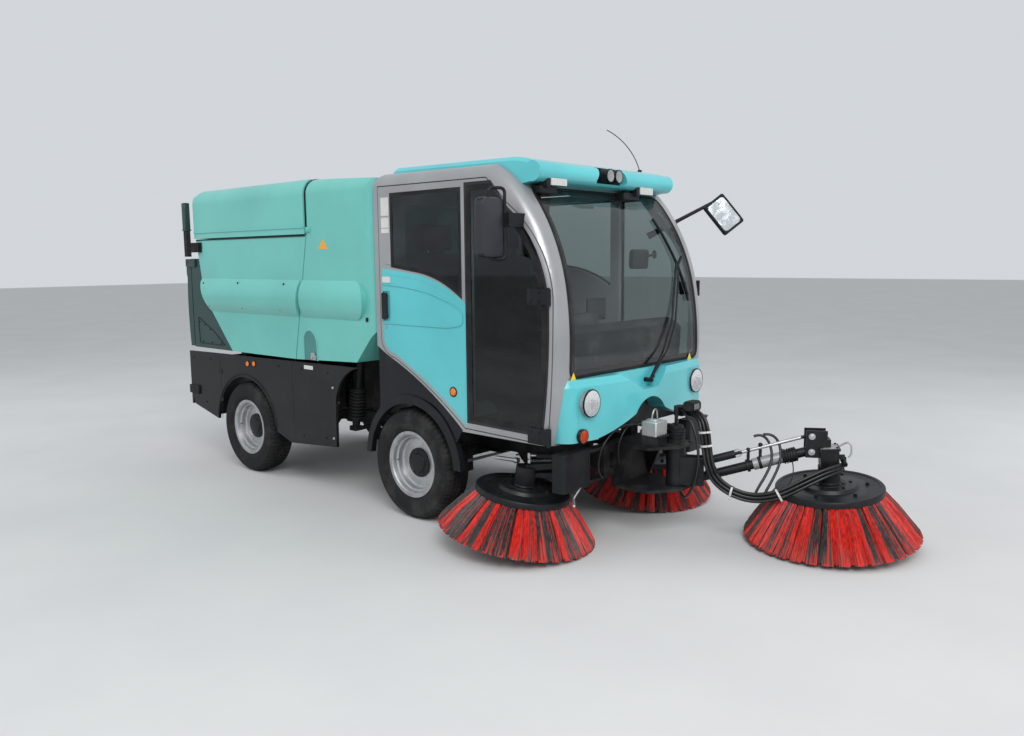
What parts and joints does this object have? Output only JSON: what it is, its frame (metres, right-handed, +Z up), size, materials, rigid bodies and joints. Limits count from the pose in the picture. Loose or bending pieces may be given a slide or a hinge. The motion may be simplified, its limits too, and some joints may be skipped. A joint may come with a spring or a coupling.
{
  "type": "compact road sweeper",
  "caption": "Compact suction road sweeper with a glazed cab, tipping hopper, front side brushes and a boom brush, on rubber tyres.",
  "frame": {"origin": "on the ground under the middle of the whole outline, third brush included", "axes": "+Z up, -Y forward, +X to the vehicle's left"},
  "size_m": [2.3276, 5.6721, 2.5626],
  "materials": {
    "teal_paint": "glossy, slightly weathered",
    "silver_paint": "satin",
    "green_plastic": "satin dark green",
    "black_plastic": "satin",
    "black_steel": "satin, dusty",
    "frame_paint": "dusty",
    "wheel_steel": "satin silver",
    "tyre": "worn",
    "clear_glass": "clear",
    "tinted_glass": "tinted",
    "lamp": "clear lens",
    "seat_cloth": "woven",
    "dash_plastic": "grained",
    "bristle": "polypropylene",
    "bright_steel": "zinc plated",
    "cast": "dusty"
  },
  "bodies": {
    "root": {"chassis_frame": "frame_paint", "body_mounts": "frame_paint", "front_bracket": "frame_paint", "rear_hitch": "frame_paint", "leaf_springs": "frame_paint", "front_axle": "frame_paint", "rear_axle": "frame_paint", "engine": "cast", "cab_frame": "silver_paint", "windshield": "clear_glass", "rear_window": "clear_glass", "cab_roof_cap": "teal_paint", "front_panel": "teal_paint", "front_lamps": "lamp", "wiper": "black_plastic", "dashboard": "dash_plastic", "seats": "seat_cloth", "front_fenders": "black_plastic", "radio_antenna": "black_plastic", "front_body": "teal_paint", "body_hood": "teal_paint", "lower_body": "black_steel", "suction_gear": "black_steel"},
    "steering_wheel": {"steering_wheel": "dash_plastic"},
    "door_right": {"door_right": "silver_paint", "door_skin_right": "teal_paint", "door_panes_right": "tinted_glass", "door_fittings_right": "black_plastic"},
    "door_left": {"door_left": "silver_paint", "door_skin_left": "teal_paint", "door_panes_left": "tinted_glass", "door_fittings_left": "black_plastic"},
    "hopper": {"hopper_tub": "teal_paint", "hopper_subframe": "frame_paint", "rear_cover": "green_plastic", "rear_post": "frame_paint"},
    "hopper_lid": {"hopper_lid": "teal_paint"},
    "tail_door": {"tail_door": "green_plastic"},
    "tip_ram_barrel": {"tip_ram_barrel": "black_steel"},
    "tip_ram_rod": {"tip_ram_rod": "bright_steel"},
    "knuckle_right": {"knuckle_right": "cast"},
    "knuckle_left": {"knuckle_left": "cast"},
    "tie_rod": {"tie_rod": "bright_steel"},
    "wheel_front_right": {"tyre_front_right": "tyre", "rim_front_right": "wheel_steel"},
    "wheel_front_left": {"tyre_front_left": "tyre", "rim_front_left": "wheel_steel"},
    "wheel_rear_right": {"tyre_rear_right": "tyre", "rim_rear_right": "wheel_steel"},
    "wheel_rear_left": {"tyre_rear_left": "tyre", "rim_rear_left": "wheel_steel"},
    "brush_arm_right": {"brush_arm_right": "black_steel"},
    "brush_arm_left": {"brush_arm_left": "black_steel"},
    "brush_right": {"brush_right": "bristle"},
    "brush_left": {"brush_left": "bristle"},
    "boom_column": {"boom_column": "black_steel"},
    "boom_arm": {"boom_arm": "black_steel"},
    "boom_link": {"boom_link": "bright_steel"},
    "boom_head": {"boom_head": "black_steel"},
    "brush_outer": {"brush_outer": "bristle"}
  },
  "joints": [
    {"name": "wheel_front_right_spin", "type": "hinge", "parent": "knuckle_right", "child": "wheel_front_right", "pos_m": [-0.683, -0.076, 0.3645], "axis": [-1, 0, 0], "continuous": true},
    {"name": "wheel_front_left_spin", "type": "hinge", "parent": "knuckle_left", "child": "wheel_front_left", "pos_m": [0.683, -0.076, 0.3645], "axis": [-1, 0, 0], "continuous": true},
    {"name": "wheel_rear_right_spin", "type": "hinge", "parent": "root", "child": "wheel_rear_right", "pos_m": [-0.683, 1.896, 0.3645], "axis": [-1, 0, 0], "continuous": true},
    {"name": "wheel_rear_left_spin", "type": "hinge", "parent": "root", "child": "wheel_rear_left", "pos_m": [0.683, 1.896, 0.3645], "axis": [-1, 0, 0], "continuous": true},
    {"name": "steer_right", "type": "hinge", "parent": "root", "child": "knuckle_right", "pos_m": [-0.6, -0.076, 0.3645], "axis": [0, 0, 1], "range_deg": [-30, 30]},
    {"name": "steer_left", "type": "hinge", "parent": "root", "child": "knuckle_left", "pos_m": [0.6, -0.076, 0.3645], "axis": [0, 0, 1], "range_deg": [-30, 30]},
    {"name": "tie_rod_pin", "type": "hinge", "parent": "knuckle_right", "child": "tie_rod", "pos_m": [-0.6, 0.034, 0.2535], "axis": [0, 0, 1], "range_deg": [-30, 30]},
    {"name": "steering_wheel_turn", "type": "hinge", "parent": "root", "child": "steering_wheel", "pos_m": [-0.35, -0.682, 1.509], "axis": [0, 0.6259, 0.7799], "range_deg": [-450, 450]},
    {"name": "door_right_hinge", "type": "hinge", "parent": "root", "child": "door_right", "pos_m": [-0.806, -1.264, 1], "axis": [0, 0, 1], "range_deg": [0, 70]},
    {"name": "door_left_hinge", "type": "hinge", "parent": "root", "child": "door_left", "pos_m": [0.806, -1.264, 1], "axis": [0, 0, -1], "range_deg": [0, 70]},
    {"name": "hopper_tip", "type": "hinge", "parent": "root", "child": "hopper", "pos_m": [0, 2.714, 0.905], "axis": [-1, 0, 0], "range_deg": [0, 50]},
    {"name": "hopper_lid_hinge", "type": "hinge", "parent": "hopper", "child": "hopper_lid", "pos_m": [0.806, 1.724, 1.87], "axis": [0, 1, 0], "range_deg": [0, 60]},
    {"name": "tail_door_hinge", "type": "hinge", "parent": "hopper", "child": "tail_door", "pos_m": [0, 2.696, 1.688], "axis": [1, 0, 0], "range_deg": [0, 70]},
    {"name": "tip_ram_swing", "type": "hinge", "parent": "root", "child": "tip_ram_barrel", "pos_m": [0, 2.224, 0.54], "axis": [1, 0, 0], "range_deg": [-2, 10]},
    {"name": "tip_ram_stroke", "type": "slide", "parent": "tip_ram_barrel", "child": "tip_ram_rod", "axis": [0, 0.6508, 0.7593], "range_m": [-0.01, 0.17]},
    {"name": "brush_arm_right_swing", "type": "hinge", "parent": "root", "child": "brush_arm_right", "pos_m": [-0.47, -1.256, 0.481], "axis": [0, 0, 1], "range_deg": [0, 22]},
    {"name": "brush_arm_left_swing", "type": "hinge", "parent": "root", "child": "brush_arm_left", "pos_m": [0.47, -1.256, 0.481], "axis": [0, 0, -1], "range_deg": [0, 22]},
    {"name": "brush_right_spin", "type": "hinge", "parent": "brush_arm_right", "child": "brush_right", "pos_m": [-0.672, -0.957, 0.327], "axis": [0.074, -0.1479, 0.9862], "continuous": true},
    {"name": "brush_left_spin", "type": "hinge", "parent": "brush_arm_left", "child": "brush_left", "pos_m": [0.672, -0.957, 0.327], "axis": [-0.074, -0.1479, 0.9862], "continuous": true},
    {"name": "boom_slew", "type": "hinge", "parent": "root", "child": "boom_column", "pos_m": [0.06, -1.556, 0.44], "axis": [0, 0, 1], "range_deg": [-70, 22]},
    {"name": "boom_lift", "type": "hinge", "parent": "boom_column", "child": "boom_arm", "pos_m": [0.13, -1.676, 0.365], "axis": [-0.8698, -0.4934, 0], "range_deg": [0, 20]},
    {"name": "boom_link_pin", "type": "hinge", "parent": "boom_column", "child": "boom_link", "pos_m": [0.13, -1.676, 0.457], "axis": [-0.8698, -0.4934, 0], "range_deg": [0, 20]},
    {"name": "boom_head_level", "type": "hinge", "parent": "boom_arm", "child": "boom_head", "pos_m": [0.446, -2.233, 0.56], "axis": [-0.8698, -0.4934, 0], "range_deg": [-20, 0]},
    {"name": "brush_outer_spin", "type": "hinge", "parent": "boom_head", "child": "brush_outer", "pos_m": [0.502, -2.331, 0.34], "axis": [-0.0955, 0.0189, 0.9952], "continuous": true}
  ],
  "couplings": [
    {"joint": "steer_left", "follows": "steer_right", "ratio": 1},
    {"joint": "tie_rod_pin", "follows": "steer_right", "ratio": -1},
    {"joint": "steering_wheel_turn", "follows": "steer_right", "ratio": 15},
    {"joint": "tip_ram_swing", "follows": "hopper_tip", "ratio": 0.1344},
    {"joint": "tip_ram_stroke", "follows": "hopper_tip", "m_per_rad": 0.1762},
    {"joint": "boom_link_pin", "follows": "boom_lift", "ratio": 1},
    {"joint": "boom_head_level", "follows": "boom_lift", "ratio": -1}
  ]
}
